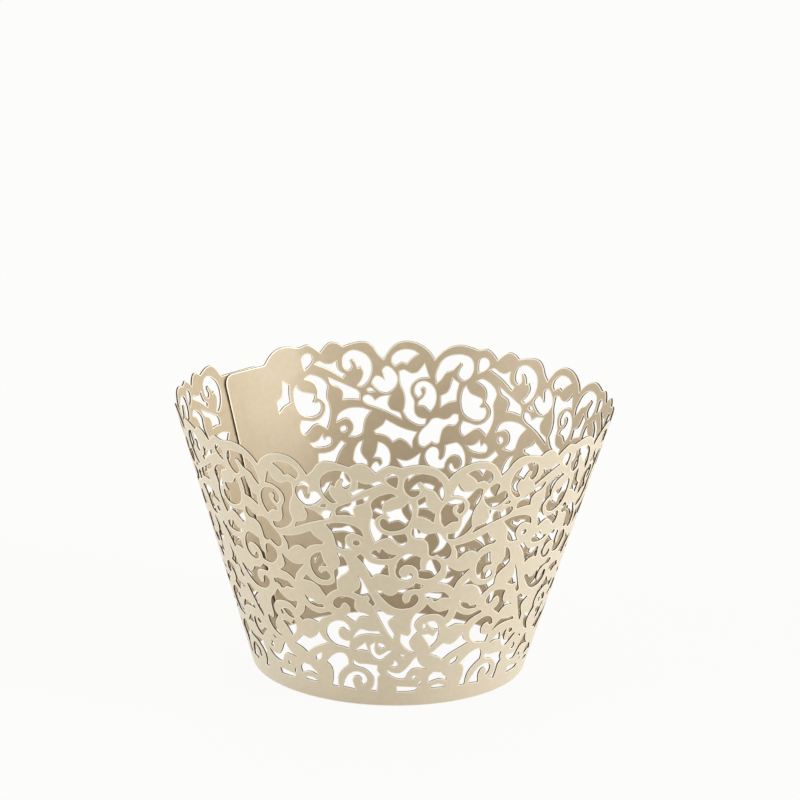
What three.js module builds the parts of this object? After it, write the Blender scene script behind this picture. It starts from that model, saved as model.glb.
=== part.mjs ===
// A pierced cupcake wrapper: one strip of pearl card, cut through in a scroll-and-vine pattern
// and curled into an open cup with no bottom. Millimetres, +Z up, origin at the centre of the
// base circle. The front, where the seam does not show, faces -Y.

import * as THREE from 'three';

// Driving dimensions
const BASE_DIAMETER = 50;
const RIM_DIAMETER = 80;
const HEIGHT = 50;
const CARD = 0.35;
const BASE_BAND = 3.05;
const REPEATS = 7;
const PATTERN_TURN = -32.3;
const SEAM_TURN = -140;

// The plain ends of the strip. They lap by SEAM_LAP with SEAM_GAP between them, each moves in or
// out to its place over SEAM_RAMP, and the windows keep SEAM_MARGIN away from the lap.
const SEAM_LAP = 9;
const SEAM_GAP = 0.25;
const SEAM_RAMP = 8;
const SEAM_MARGIN = 1;
const END_DROP = 2.8;
const END_CORNER = 2;

// How finely curves are followed. No facet reaches farther round the cup than FACET_TURN, and each
// pass over the facets halves those edges that are nearly as wide as the widest.
const WINDOW_ERROR = 0.48;
const RIM_ERROR = 0.2;
const CURVE_STEPS = 6;
const FACET_TURN = 12;
const NEARLY_WIDEST = 0.8;
const CORNER_STEPS = 3;
const PINHOLE_SIDES = 7;
const TINY = 1e-6;

// The pattern is drawn flat and fitted to the cup. x runs along the sheet, y goes up the slope of
// the wall, and the drawing leaves a plain band this high above the base edge.
const DRAWN_BAND = 3.05;
const SHARP = 1;

// The scalloped rim of one repeat, from a notch to the same notch of the next repeat
const RIM = [
  [-2.75, 49.0, SHARP], [-2.0, 50.2], [-0.8, 51.3], [0.6, 52.0], [2.0, 52.2], [3.3, 51.9], [4.4, 51.0],
  [5.1, 49.9], [5.75, 48.65, SHARP], [6.6, 49.6], [7.4, 51.0], [8.4, 51.9], [9.6, 52.05], [11.0, 51.75],
  [12.4, 51.25, SHARP], [13.3, 51.95], [14.4, 52.15], [15.2, 51.7], [16.3, 50.35, SHARP], [17.3, 51.4],
  [18.4, 52.05], [19.9, 51.65], [21.3, 52.0], [22.7, 52.2], [24.2, 51.85], [25.5, 51.0], [26.4, 50.0],
  [27.05, 49.0, SHARP],
];

// The windows of one repeat. A point with SHARP is a corner, and smooth curves run through the rest.
const WINDOWS = {
  leaf_in_tall_arch: [
    [0.1, 49.85, SHARP], [0.9, 50.4], [2.2, 50.55], [3.4, 50.1], [4.2, 49.1], [4.25, 48.0],
    [3.8, 47.4, SHARP], [3.2, 47.85], [2.7, 48.15], [1.9, 47.85, SHARP], [1.35, 48.7], [0.75, 49.3],
  ],
  long_drop: [
    [-1.1, 48.0, SHARP], [-0.6, 47.0], [0.15, 46.15], [1.1, 46.0], [2.3, 46.6], [3.0, 46.3, SHARP],
    [2.95, 45.2], [2.75, 43.8], [2.15, 42.4], [1.85, 40.9], [1.9, 39.6], [2.15, 38.6, SHARP],
    [1.3, 37.3], [0.1, 36.5], [-0.9, 36.2], [-1.7, 36.4], [-1.9, 37.4, SHARP], [-0.8, 37.5],
    [0.0, 38.1], [0.35, 39.2], [0.4, 40.7], [1.1, 42.2], [1.1, 43.5], [0.4, 44.6], [-0.6, 45.25],
    [-1.95, 45.45, SHARP],
  ],
  snail: [
    [-2.6, 39.0, SHARP], [-3.2, 40.1], [-3.45, 41.5], [-3.2, 43.0], [-2.3, 44.2], [-1.1, 44.6],
    [-0.1, 44.1], [0.3, 43.1], [0.2, 42.1], [-0.35, 41.5, SHARP], [-0.85, 42.1], [-0.6, 43.1, SHARP],
    [-1.0, 43.5], [-1.5, 43.2], [-1.6, 42.4], [-1.2, 41.4], [-0.5, 40.6], [-0.45, 39.95, SHARP],
    [-1.5, 39.9], [-2.2, 39.3],
  ],
  heart: [
    [5.45, 44.5, SHARP], [6.0, 45.0], [6.85, 45.35], [7.5, 44.6], [7.65, 43.9, SHARP], [6.9, 43.0],
    [6.0, 42.3], [5.0, 42.2], [4.1, 42.9], [3.5, 44.0], [3.45, 45.2], [4.0, 46.3], [5.1, 47.2],
    [5.8, 46.6], [5.6, 45.5],
  ],
  seed_by_heart: [[7.3, 42.4, SHARP], [7.9, 43.05], [8.4, 42.95], [8.3, 42.45]],
  hook_in_wide_arch: [
    [10.1, 43.6, SHARP], [9.3, 44.9], [9.0, 46.1], [9.5, 47.25, SHARP], [10.0, 47.0, SHARP],
    [10.45, 48.2], [11.15, 48.85], [11.35, 48.3], [11.1, 47.2], [11.7, 46.6], [12.3, 47.1],
    [12.5, 48.2], [12.2, 49.5], [10.9, 50.35], [9.4, 49.95], [8.4, 49.1], [7.85, 47.9], [7.75, 46.5],
    [8.1, 45.0], [8.8, 43.9], [9.5, 43.4],
  ],
  wedge_over_stem: [
    [13.65, 48.4, SHARP], [14.5, 47.95], [15.5, 48.0], [16.7, 48.6], [17.3, 48.2, SHARP], [15.0, 46.95],
    [12.7, 45.2, SHARP], [12.4, 45.8], [13.2, 46.4], [13.6, 47.3],
  ],
  wedge_under_stem: [
    [15.15, 45.4, SHARP], [14.9, 44.6], [14.35, 43.9], [13.2, 43.35], [12.65, 42.5], [12.8, 41.1, SHARP],
    [11.4, 41.15], [9.95, 40.95, SHARP], [9.9, 42.0], [10.3, 42.7, SHARP],
  ],
  slipper: [
    [4.6, 41.65, SHARP], [6.0, 41.4], [6.7, 41.0], [7.25, 40.55, SHARP], [7.7, 41.3], [8.4, 41.7],
    [9.1, 41.45], [9.15, 40.7], [8.5, 40.0], [7.0, 39.4], [5.2, 38.65], [2.4, 37.15, SHARP],
    [2.85, 38.3], [3.6, 38.6], [4.4, 38.9], [5.0, 39.9], [4.95, 40.8],
  ],
  tall_snake: [
    [-10.45, 45.6, SHARP], [-11.2, 46.15], [-12.7, 45.7], [-13.8, 44.8], [-14.3, 43.8], [-14.1, 42.6],
    [-14.0, 41.6], [-14.4, 40.2], [-14.5, 38.8], [-14.2, 37.2], [-13.65, 35.75, SHARP], [-12.8, 36.4],
    [-11.9, 36.8], [-11.0, 36.5], [-10.1, 35.7], [-9.2, 35.05], [-8.7, 35.4], [-8.45, 36.6],
    [-8.85, 37.7, SHARP], [-10.0, 37.5], [-11.4, 37.3], [-12.7, 37.8], [-13.6, 39.1], [-13.8, 40.3],
    [-13.2, 41.3], [-12.45, 41.9, SHARP], [-12.6, 43.1], [-12.2, 44.4], [-11.4, 45.15],
  ],
  bowl: [
    [-8.6, 44.4, SHARP], [-8.15, 43.7], [-7.95, 42.3], [-8.1, 40.8], [-8.7, 39.3], [-9.8, 38.5],
    [-11.2, 38.25], [-12.4, 38.75], [-12.9, 39.8], [-12.6, 40.8], [-11.9, 40.7], [-11.35, 40.95, SHARP],
    [-11.8, 41.7], [-11.8, 42.35], [-10.8, 42.75], [-9.6, 43.1], [-9.0, 43.7],
  ],
  hook_in_far_arch: [
    [-3.35, 44.45, SHARP], [-4.0, 45.3], [-4.7, 46.6], [-5.9, 47.3], [-6.5, 48.2], [-7.15, 48.85],
    [-7.5, 48.4], [-7.1, 47.2], [-7.05, 46.2], [-7.9, 45.5], [-8.8, 46.1], [-9.35, 47.4], [-9.3, 48.8],
    [-8.7, 49.9], [-7.5, 50.3], [-6.2, 50.2], [-5.0, 49.7], [-4.0, 48.7], [-3.45, 47.3], [-3.15, 45.8],
  ],
  thumb: [
    [-10.5, 47.35, SHARP], [-10.3, 48.6], [-10.4, 49.8], [-11.2, 50.3], [-11.9, 49.9], [-12.05, 49.0],
    [-11.5, 48.1],
  ],
  boot: [
    [-7.2, 44.8, SHARP], [-6.1, 45.6, SHARP], [-5.85, 44.0], [-5.4, 42.8], [-4.3, 42.0, SHARP],
    [-4.45, 40.0, SHARP], [-5.1, 40.6], [-5.9, 41.1], [-7.0, 41.5, SHARP], [-6.95, 43.0],
  ],
  fish: [
    [-7.7, 38.8, SHARP], [-6.9, 38.75], [-6.2, 37.9], [-5.2, 37.55], [-4.0, 37.75], [-3.1, 37.4],
    [-2.4, 36.3], [-1.4, 35.2], [-0.85, 33.9], [-1.05, 32.5], [-1.8, 32.05], [-2.6, 32.5],
    [-3.3, 33.2, SHARP], [-3.9, 32.85], [-4.6, 33.1], [-4.8, 34.4], [-5.1, 35.8], [-6.0, 36.65],
    [-7.2, 36.8], [-7.8, 37.7],
  ],
  wide_star: [
    [-0.4, 34.75, SHARP], [1.2, 35.05], [2.8, 35.6], [5.2, 36.85, SHARP], [5.7, 36.0],
    [7.3, 34.8, SHARP], [7.0, 34.3, SHARP], [5.8, 34.1], [4.6, 33.5], [3.9, 32.75, SHARP], [2.7, 33.4],
    [1.6, 33.0], [0.3, 31.75, SHARP], [0.3, 33.2],
  ],
  question_mark: [
    [8.0, 38.7, SHARP], [9.6, 39.25], [11.5, 39.3], [12.9, 38.85], [13.8, 38.1], [14.25, 36.8, SHARP],
    [13.4, 37.2], [12.5, 37.5], [11.6, 37.1], [11.1, 36.1], [11.2, 35.1], [11.95, 33.95, SHARP],
    [10.6, 33.9], [9.6, 34.5], [9.35, 35.8], [9.0, 37.2],
  ],
  sail_with_curl: [
    [6.6, 32.6, SHARP], [5.6, 32.2], [4.7, 31.2], [4.4, 29.9], [4.55, 28.5], [5.2, 27.3], [6.4, 26.7],
    [7.5, 26.9], [8.0, 27.5], [7.7, 28.3], [7.0, 28.8], [6.35, 27.95, SHARP], [5.8, 28.6], [6.1, 29.5],
    [7.45, 29.75, SHARP], [6.95, 30.8],
  ],
  long_vine: [
    [9.5, 33.0, SHARP], [10.4, 32.4], [11.1, 31.0], [11.4, 29.4, SHARP], [10.6, 28.5], [9.6, 27.7],
    [9.05, 26.8], [9.05, 25.1, SHARP], [7.8, 24.3], [6.7, 23.15, SHARP], [6.15, 24.0], [5.5, 25.1],
    [4.3, 25.9], [2.4, 26.1, SHARP], [3.3, 27.3, SHARP], [4.2, 26.3], [5.4, 25.6], [6.8, 25.5],
    [8.0, 25.9], [8.75, 26.7], [8.75, 28.0], [8.8, 29.0, SHARP], [9.6, 29.9], [10.0, 31.0],
  ],
  pennant: [
    [13.6, 33.1, SHARP], [12.9, 32.5, SHARP], [14.1, 31.0], [15.4, 28.2, SHARP], [16.1, 28.8],
    [17.1, 29.05], [18.45, 28.75, SHARP], [18.2, 31.0, SHARP], [16.6, 31.0], [15.2, 31.4], [14.2, 32.4],
  ],
  little_boat: [
    [16.8, 33.4, SHARP], [17.2, 34.5, SHARP], [18.0, 33.6], [18.8, 33.25], [19.75, 33.2, SHARP],
    [18.9, 32.5], [17.6, 32.25], [16.3, 32.4], [15.55, 32.8], [15.55, 33.7], [16.2, 34.1],
  ],
  twin_curl: [
    [23.8, 32.6, SHARP], [22.7, 33.1], [21.6, 33.4], [20.7, 32.8], [20.0, 31.8], [19.6, 30.4],
    [19.7, 29.0], [20.4, 28.1], [21.4, 27.75], [22.3, 27.95], [22.65, 28.7], [22.25, 29.35],
    [21.85, 28.9], [21.5, 28.4], [20.8, 28.4], [20.2, 29.2], [20.3, 30.2], [21.0, 31.0], [22.0, 31.1],
    [22.9, 30.6], [23.5, 29.6], [23.65, 28.4, SHARP], [24.6, 28.05], [25.9, 28.1], [26.9, 28.9],
    [27.45, 30.2], [27.1, 31.4], [26.2, 32.1], [25.3, 31.9], [24.95, 31.0], [24.9, 30.0], [24.4, 29.75],
    [23.9, 30.3], [23.7, 31.5],
  ],
  kite: [
    [-1.4, 30.8, SHARP], [-0.1, 29.7], [1.3, 29.1], [3.25, 29.5, SHARP], [2.0, 28.1], [1.1, 26.9],
    [0.6, 25.5, SHARP], [-0.6, 26.5], [-2.4, 27.05, SHARP], [-1.2, 28.2], [-1.1, 29.4],
  ],
  bird: [
    [25.2, 24.6, SHARP], [25.6, 23.75], [26.2, 24.05], [26.85, 23.0, SHARP], [27.5, 23.1], [28.3, 23.65],
    [29.2, 23.6], [29.85, 23.6, SHARP], [29.3, 24.3], [28.6, 24.85], [27.6, 24.9], [26.4, 25.0],
  ],
  ladle: [
    [16.3, 25.35, SHARP], [17.2, 25.3], [17.9, 24.6], [19.0, 24.35], [19.8, 24.8], [20.6, 25.8],
    [22.4, 26.2], [23.3, 27.15, SHARP], [24.7, 26.55, SHARP], [24.1, 25.8, SHARP], [22.4, 25.75],
    [21.3, 25.1], [20.95, 24.0], [21.2, 23.1], [21.8, 22.65], [22.35, 23.2], [22.6, 24.2], [23.2, 24.7],
    [23.85, 24.2], [23.9, 23.2], [23.1, 22.1], [21.6, 21.6], [20.0, 21.7], [18.6, 22.5], [17.4, 23.8],
  ],
  duck: [
    [10.3, 19.4, SHARP], [12.0, 18.25, SHARP], [12.8, 19.3], [13.7, 19.65], [15.2, 19.45, SHARP],
    [14.0, 20.25], [12.7, 20.5], [12.1, 21.4], [12.25, 23.1, SHARP], [11.2, 23.5], [9.9, 23.6],
    [8.8, 23.2], [8.1, 22.3], [8.05, 21.4], [8.7, 20.9], [9.4, 21.2], [9.8, 22.0], [10.4, 22.3],
    [11.1, 21.7], [11.3, 20.9], [11.0, 20.1],
  ],
  thorn_left_of_stem: [
    [13.0, 28.6, SHARP], [13.9, 27.0], [14.9, 24.7], [16.0, 22.5, SHARP], [15.6, 22.0, SHARP],
    [14.75, 22.9, SHARP], [15.05, 23.6], [14.7, 24.25], [13.7, 24.1], [12.1, 24.75, SHARP], [13.0, 25.5],
    [13.4, 26.6],
  ],
  thorn_right_of_stem: [
    [16.1, 20.9, SHARP], [17.0, 21.2], [18.2, 20.3], [19.95, 19.95, SHARP], [18.9, 19.2], [18.4, 18.4],
    [18.9, 17.2], [19.6, 16.0], [19.5, 14.7, SHARP], [18.4, 16.3], [17.1, 18.9],
  ],
  dish: [
    [2.1, 22.9, SHARP], [2.8, 22.2], [3.9, 21.9], [4.6, 21.2], [5.9, 21.2], [5.9, 20.6, SHARP],
    [4.3, 20.6], [2.9, 21.3],
  ],
  swallow: [
    [1.95, 20.35, SHARP], [1.65, 19.2], [0.9, 18.2], [0.2, 17.6, SHARP], [0.85, 16.95, SHARP], [2.4, 17.6],
    [4.3, 17.15, SHARP], [5.4, 18.3], [7.6, 19.4, SHARP], [7.1, 19.85], [5.0, 19.2], [3.4, 19.5],
  ],
  great_curl: [
    [30.1, 20.95, SHARP], [29.85, 20.0], [29.35, 19.15, SHARP], [28.3, 20.0], [27.0, 20.25], [25.7, 20.1],
    [24.5, 19.5], [23.75, 18.5], [23.7, 17.4], [24.3, 16.35, SHARP], [23.3, 15.1], [22.85, 13.9],
    [23.3, 12.8], [24.25, 11.8, SHARP], [22.9, 12.3], [21.7, 13.3], [21.1, 14.5], [21.1, 15.9, SHARP],
    [22.6, 15.6], [23.1, 16.4], [23.0, 17.7], [23.1, 19.0], [23.6, 20.2], [24.8, 21.2],
    [25.75, 22.5, SHARP], [26.6, 21.5], [28.2, 20.6],
  ],
  sliver_in_leaf: [[25.35, 18.1, SHARP], [25.9, 17.9], [26.0, 17.0, SHARP], [25.5, 17.2]],
  upper_half_leaf: [
    [26.15, 18.4, SHARP], [27.3, 18.6], [28.2, 17.9], [28.65, 16.8, SHARP], [27.5, 17.0], [26.8, 17.6],
  ],
  lower_half_leaf: [
    [25.35, 15.65, SHARP], [26.6, 15.75], [27.6, 15.3], [28.45, 16.3, SHARP], [28.65, 15.2], [28.3, 14.0],
    [27.2, 12.85, SHARP], [26.5, 14.2],
  ],
  scroll: [
    [10.95, 16.3, SHARP], [10.3, 16.15], [9.6, 16.75], [8.8, 16.5], [8.4, 15.5], [8.8, 14.4],
    [9.9, 13.9], [10.7, 13.9, SHARP], [10.35, 12.3, SHARP], [9.0, 12.6], [7.6, 12.8], [6.3, 13.9],
    [5.85, 15.1], [6.1, 16.2], [6.9, 17.2], [8.2, 18.0], [9.6, 18.1], [10.6, 17.3],
  ],
  brow: [
    [11.3, 14.4, SHARP], [12.4, 15.2], [13.8, 15.7], [15.4, 15.85], [17.1, 15.75, SHARP],
    [16.6, 16.5, SHARP], [14.8, 16.4], [13.2, 16.7], [12.3, 16.0],
  ],
  low_crescent: [
    [15.9, 14.0, SHARP], [15.0, 13.2], [14.95, 12.0], [15.5, 10.9], [16.9, 10.15], [18.1, 11.0],
    [19.6, 12.25, SHARP], [18.6, 12.2], [17.6, 11.5], [16.7, 11.2], [15.9, 11.8], [15.75, 12.9],
  ],
  drop_in_crescent: [[16.7, 13.9, SHARP], [17.5, 13.7], [17.85, 13.1], [17.2, 12.8, SHARP], [16.6, 13.3]],
  low_star: [
    [-2.4, 11.25, SHARP], [-0.8, 10.8], [0.6, 9.9, SHARP], [1.9, 11.0], [3.6, 11.9], [5.9, 12.95, SHARP],
    [4.9, 13.7], [4.1, 15.1, SHARP], [3.2, 13.9], [1.9, 13.1], [0.2, 13.5, SHARP], [-0.9, 12.5],
  ],
  seed: [[2.6, 8.5, SHARP], [2.6, 9.4], [4.1, 10.4, SHARP], [3.9, 9.4], [3.4, 8.9]],
  low_bridge: [
    [-1.9, 5.0, SHARP], [-0.4, 5.5], [1.0, 5.6], [2.25, 5.1, SHARP], [2.2, 5.7], [1.4, 6.3],
    [0.8, 7.0, SHARP], [-1.1, 7.15, SHARP], [-1.9, 6.3],
  ],
  base_sliver: [[-1.4, 3.75, SHARP], [-0.6, 4.25], [0.8, 4.35], [2.55, 3.75, SHARP], [0.6, 3.65]],
  flask: [
    [5.0, 8.6, SHARP], [5.7, 8.1], [6.2, 7.3], [6.25, 5.5], [5.75, 3.55, SHARP], [7.3, 3.45, SHARP],
    [7.35, 5.6], [8.1, 7.0], [10.05, 8.7, SHARP], [9.95, 10.2], [9.2, 11.0], [7.8, 10.9], [6.4, 10.0],
    [5.6, 9.2],
  ],
  base_curl: [
    [8.3, 3.6, SHARP], [8.9, 5.0], [10.0, 6.4], [11.4, 7.2], [12.8, 7.1], [13.8, 6.3], [13.9, 5.2],
    [13.1, 4.5], [12.7, 4.9, SHARP], [12.9, 5.6], [12.2, 6.35], [11.2, 6.2], [10.7, 5.3],
    [11.2, 3.3, SHARP],
  ],
  base_hood: [
    [11.35, 9.75, SHARP], [11.15, 8.9], [12.0, 8.45], [13.5, 8.1], [14.8, 7.2], [15.6, 6.1],
    [15.6, 4.6], [14.9, 3.35, SHARP], [16.1, 3.2, SHARP], [16.35, 4.8], [16.35, 6.1],
    [16.95, 6.9, SHARP], [16.3, 7.8], [16.35, 8.9, SHARP], [14.0, 9.1], [12.3, 9.1],
  ],
  comma: [[19.95, 10.15, SHARP], [20.6, 9.5], [20.6, 8.9], [20.0, 8.65], [19.3, 8.95, SHARP], [19.9, 9.4]],
  low_wave: [
    [18.2, 8.1, SHARP], [19.0, 7.0], [20.2, 6.3], [21.5, 6.0], [22.4, 6.15], [23.0, 7.3], [23.9, 8.2],
    [25.2, 8.35], [27.3, 8.0, SHARP], [25.9, 8.8], [25.1, 9.7], [24.6, 10.9, SHARP], [23.9, 10.1],
    [23.2, 9.0], [22.3, 8.0], [21.2, 7.3], [19.6, 7.4],
  ],
  tick: [[25.6, 4.4, SHARP], [26.2, 4.9], [26.05, 5.55, SHARP], [25.75, 5.0]],
  base_slot: [
    [20.7, 4.3, SHARP], [20.9, 3.15, SHARP], [23.4, 3.2], [25.0, 3.4], [25.7, 3.95, SHARP], [24.4, 4.1],
    [22.6, 4.2],
  ],
  notch_by_curl: [[20.8, 11.5, SHARP], [21.9, 10.7, SHARP], [22.0, 11.3, SHARP]],
  fin: [
    [11.6, 11.8, SHARP], [13.0, 12.2], [14.4, 12.0, SHARP], [14.2, 12.9], [13.9, 13.8, SHARP],
    [12.7, 12.8],
  ],
};

// Round pinholes of one repeat, each a centre and a radius
const PINHOLES = [
  { x: 13.0, y: 35.4, radius: 0.55 },
  { x: 24.5, y: 6.3, radius: 0.38 },
];

// Sizes worked out from the driving dimensions
const base_radius = BASE_DIAMETER / 2;
const rim_radius = RIM_DIAMETER / 2;
const slant = Math.hypot(HEIGHT, rim_radius - base_radius);
const drawn_width = RIM[RIM.length - 1][0] - RIM[0][0];
const drawn_top = Math.max(...RIM.map(([, y]) => y));
const repeat_turn = 360 / REPEATS;
const turn_per_x = repeat_turn / drawn_width;
const mid_radius = (base_radius + rim_radius) / 2;
const x_per_mm = 1 / THREE.MathUtils.degToRad(turn_per_x * mid_radius);
const lap = SEAM_LAP * x_per_mm;
const ramp = SEAM_RAMP * x_per_mm;
const margin = SEAM_MARGIN * x_per_mm;
const wall = CARD * slant / HEIGHT;
const lap_shift = (wall + SEAM_GAP) / 2;
const sheet_start = (SEAM_TURN - PATTERN_TURN) / turn_per_x;
const sheet_close = sheet_start + REPEATS * drawn_width;
const sheet_end = sheet_close + lap;

// Height on the slope of the wall, from a height in the drawing
function slope(y) {
  if (y <= DRAWN_BAND) return y * BASE_BAND / DRAWN_BAND;
  return BASE_BAND + (y - DRAWN_BAND) * (slant - BASE_BAND) / (drawn_top - DRAWN_BAND);
}

// Distance of a point from the line between two others
function offLine(point, from, to) {
  const along = to.clone().sub(from);
  const length = along.length();
  if (length === 0) return point.distanceTo(from);
  return Math.abs(along.cross(point.clone().sub(from))) / length;
}

// The fewest points of a run that stay within the curve error of all of them
function thinned(run, error) {
  let worst = 0;
  let farthest = 0;
  for (let i = 1; i < run.length - 1; i += 1) {
    const off = offLine(run[i], run[0], run[run.length - 1]);
    if (off > worst) {
      worst = off;
      farthest = i;
    }
  }
  if (worst <= error) return [run[0], run[run.length - 1]];
  const before = thinned(run.slice(0, farthest + 1), error);
  return [...before.slice(0, -1), ...thinned(run.slice(farthest), error)];
}

// One smooth run from corner to corner, as short straight pieces
function smoothRun(points, error) {
  if (points.length === 2) return points;
  const knots = points.map((p) => new THREE.Vector3(p.x, p.y, 0));
  const curve = new THREE.CatmullRomCurve3(knots, false, 'centripetal');
  const fine = curve.getPoints((points.length - 1) * CURVE_STEPS);
  return thinned(fine.map((p) => new THREE.Vector2(p.x, p.y)), error);
}

// A closed outline from its list of points, which starts at a corner
function closedOutline(list, error) {
  const outline = [];
  let run = [];
  for (const [x, y, sharp] of [...list, list[0]]) {
    run.push(new THREE.Vector2(x, y));
    if (sharp && run.length > 1) {
      outline.push(...smoothRun(run, error).slice(0, -1));
      run = [run[run.length - 1]];
    }
  }
  return outline;
}

// A pinhole's outline, as a polygon
function pinholeOutline({ x, y, radius }) {
  const outline = [];
  for (let i = 0; i < PINHOLE_SIDES; i += 1) {
    const turn = 2 * Math.PI * i / PINHOLE_SIDES;
    outline.push(new THREE.Vector2(x + radius * Math.cos(turn), y + radius * Math.sin(turn)));
  }
  return outline;
}

// An outline moved along the sheet
function moved(outline, shift) {
  return outline.map((p) => new THREE.Vector2(p.x + shift, p.y));
}

// Copies of an outline all round, without those that would reach the plain end strips
function allRound(outline) {
  const left = Math.min(...outline.map((p) => p.x));
  const right = Math.max(...outline.map((p) => p.x));
  const copies = [];
  const first = Math.floor((sheet_start - left) / drawn_width);
  for (let i = first; i <= first + REPEATS + 1; i += 1) {
    const shift = i * drawn_width;
    const clear_of_start = left + shift > sheet_start + lap + margin;
    const clear_of_end = right + shift < sheet_close - margin;
    if (clear_of_start && clear_of_end) copies.push(moved(outline, shift));
  }
  return copies;
}

// The scalloped top edge between the plain end strips, from right to left
function rimOutline() {
  const one_repeat = closedOutline(RIM, RIM_ERROR).slice(0, -1);
  const all = [];
  const first = Math.floor((sheet_start - RIM[0][0]) / drawn_width) - 1;
  for (let i = first; i <= first + REPEATS + 2; i += 1) all.push(...moved(one_repeat, i * drawn_width));
  return all.filter((p) => p.x > sheet_start + lap && p.x < sheet_close).reverse();
}

// The whole sheet: level base edge, plain ends with a rounded top corner, scalloped rim
function sheetOutline() {
  const end_top = drawn_top - END_DROP;
  const corner = END_CORNER * x_per_mm;
  const outline = new THREE.Path();
  outline.moveTo(sheet_start, 0);
  outline.lineTo(sheet_end, 0);
  outline.lineTo(sheet_end, end_top - corner);
  outline.absarc(sheet_end - corner, end_top - corner, corner, 0, Math.PI / 2);
  outline.lineTo(sheet_close, end_top);
  for (const p of rimOutline()) outline.lineTo(p.x, p.y);
  outline.lineTo(sheet_start + lap, end_top);
  outline.absarc(sheet_start + corner, end_top - corner, corner, Math.PI / 2, Math.PI);
  const points = outline.getPoints(CORNER_STEPS);
  return points.filter((p, i) => i === 0 || p.distanceTo(points[i - 1]) > TINY);
}

// Index of the corner of a triangle that is not on an edge
function apex(triangle, a, b) {
  return triangle.find((i) => i !== a && i !== b);
}

// Triangles of the sheet by edge, so that neighbours can be found
function edgeMap(triangles) {
  const edges = new Map();
  triangles.forEach((triangle, index) => {
    for (let i = 0; i < 3; i += 1) {
      const a = triangle[i];
      const b = triangle[(i + 1) % 3];
      const key = a < b ? `${a},${b}` : `${b},${a}`;
      if (!edges.has(key)) edges.set(key, []);
      edges.get(key).push(index);
    }
  });
  return edges;
}

// How far point d lies inside the circle through a, b and c, which run anticlockwise
function insideCircle(a, b, c, d) {
  const [ax, ay, bx, by, cx, cy] = [a.x - d.x, a.y - d.y, b.x - d.x, b.y - d.y, c.x - d.x, c.y - d.y];
  const aa = ax * ax + ay * ay;
  const bb = bx * bx + by * by;
  const cc = cx * cx + cy * cy;
  return aa * (bx * cy - cx * by) - bb * (ax * cy - cx * ay) + cc * (ax * by - bx * ay);
}

// Twice the area of a triangle, positive if it runs anticlockwise
function area(a, b, c) {
  return (b.x - a.x) * (c.y - a.y) - (c.x - a.x) * (b.y - a.y);
}

// Swaps the diagonals of neighbouring triangles until the triangles are as compact as they can be
function compactTriangles(points, triangles) {
  let changed = true;
  while (changed) {
    changed = false;
    const touched = new Set();
    for (const [key, pair] of edgeMap(triangles)) {
      if (pair.length !== 2 || touched.has(pair[0]) || touched.has(pair[1])) continue;
      const [low, high] = key.split(',').map(Number);
      const first = triangles[pair[0]];
      const forward = first[(first.indexOf(low) + 1) % 3] === high;
      const a = forward ? low : high;
      const b = forward ? high : low;
      const c = apex(first, a, b);
      const d = apex(triangles[pair[1]], a, b);
      const [pa, pb, pc, pd] = [points[a], points[b], points[c], points[d]];
      const convex = area(pa, pd, pc) > TINY && area(pd, pb, pc) > TINY;
      if (convex && insideCircle(pa, pb, pc, pd) > TINY) {
        triangles[pair[0]] = [a, d, c];
        triangles[pair[1]] = [d, b, c];
        pair.forEach((index) => touched.add(index));
        changed = true;
      }
    }
  }
}

// Halves the edges that reach too far round the cup, the widest first, in both triangles beside them
function splitWideTriangles(points, triangles) {
  const limit = FACET_TURN / turn_per_x;
  let widest = Infinity;
  while (widest > limit) {
    compactTriangles(points, triangles);
    const edges = [...edgeMap(triangles)].map(([key, owners]) => {
      const [a, b] = key.split(',').map(Number);
      return { a, b, owners, width: Math.abs(points[a].x - points[b].x) };
    });
    widest = Math.max(...edges.map((edge) => edge.width));
    const touched = new Set();
    const wide = edges.filter((edge) => edge.width > Math.max(limit, NEARLY_WIDEST * widest));
    for (const { a, b, owners } of wide.sort((p, q) => q.width - p.width)) {
      if (owners.some((index) => touched.has(index))) continue;
      const middle = points.push(points[a].clone().add(points[b]).multiplyScalar(0.5)) - 1;
      for (const index of owners) {
        const old = triangles[index];
        triangles[index] = old.map((i) => (i === a ? middle : i));
        triangles.push(old.map((i) => (i === b ? middle : i)));
        touched.add(index);
      }
    }
  }
}

// A point of the flat sheet on the cup, on the inner face (side -1) or the outer face (side 1)
function onCup(point, side) {
  const turn = THREE.MathUtils.degToRad(PATTERN_TURN + point.x * turn_per_x);
  const rise = slope(point.y) / slant;
  const from_start = point.x - (sheet_start + lap);
  const from_close = point.x - (sheet_close - ramp);
  const outward = 1 - THREE.MathUtils.smoothstep(from_start, 0, ramp);
  const inward = THREE.MathUtils.smoothstep(from_close, 0, ramp);
  const radius = base_radius + rise * (rim_radius - base_radius)
    + side * wall / 2 + lap_shift * (outward - inward);
  return [radius * Math.sin(turn), -radius * Math.cos(turn), rise * HEIGHT];
}

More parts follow.
